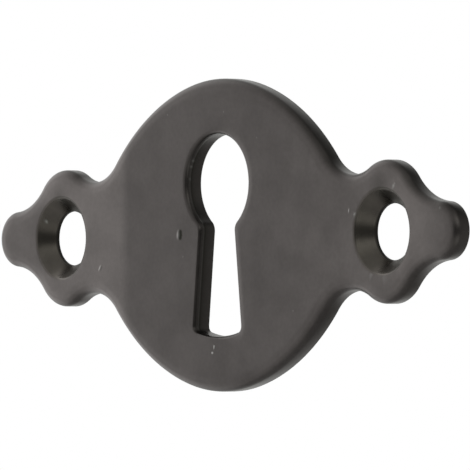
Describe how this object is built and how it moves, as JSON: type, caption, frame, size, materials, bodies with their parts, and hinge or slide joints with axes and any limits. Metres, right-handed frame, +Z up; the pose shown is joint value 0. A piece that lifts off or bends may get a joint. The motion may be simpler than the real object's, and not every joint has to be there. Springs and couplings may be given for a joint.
{
  "type": "keyhole escutcheon",
  "caption": "Cast keyhole cover plate for a drawer or cabinet door, with a lens-shaped body, a flared keyhole and a lobed, countersunk screw ear at either end.",
  "frame": {"origin": "on the flat back of the plate, midway between the screw holes", "axes": "+X along the plate's length, +Z up towards the round of the keyhole, -Y out of the face"},
  "size_m": [0.0516, 0.0014, 0.022],
  "materials": {
    "plate_metal": "satin, dark grey with a faint warm tone"
  },
  "bodies": {
    "root": {"escutcheon_plate": "plate_metal"}
  },
  "joints": []
}
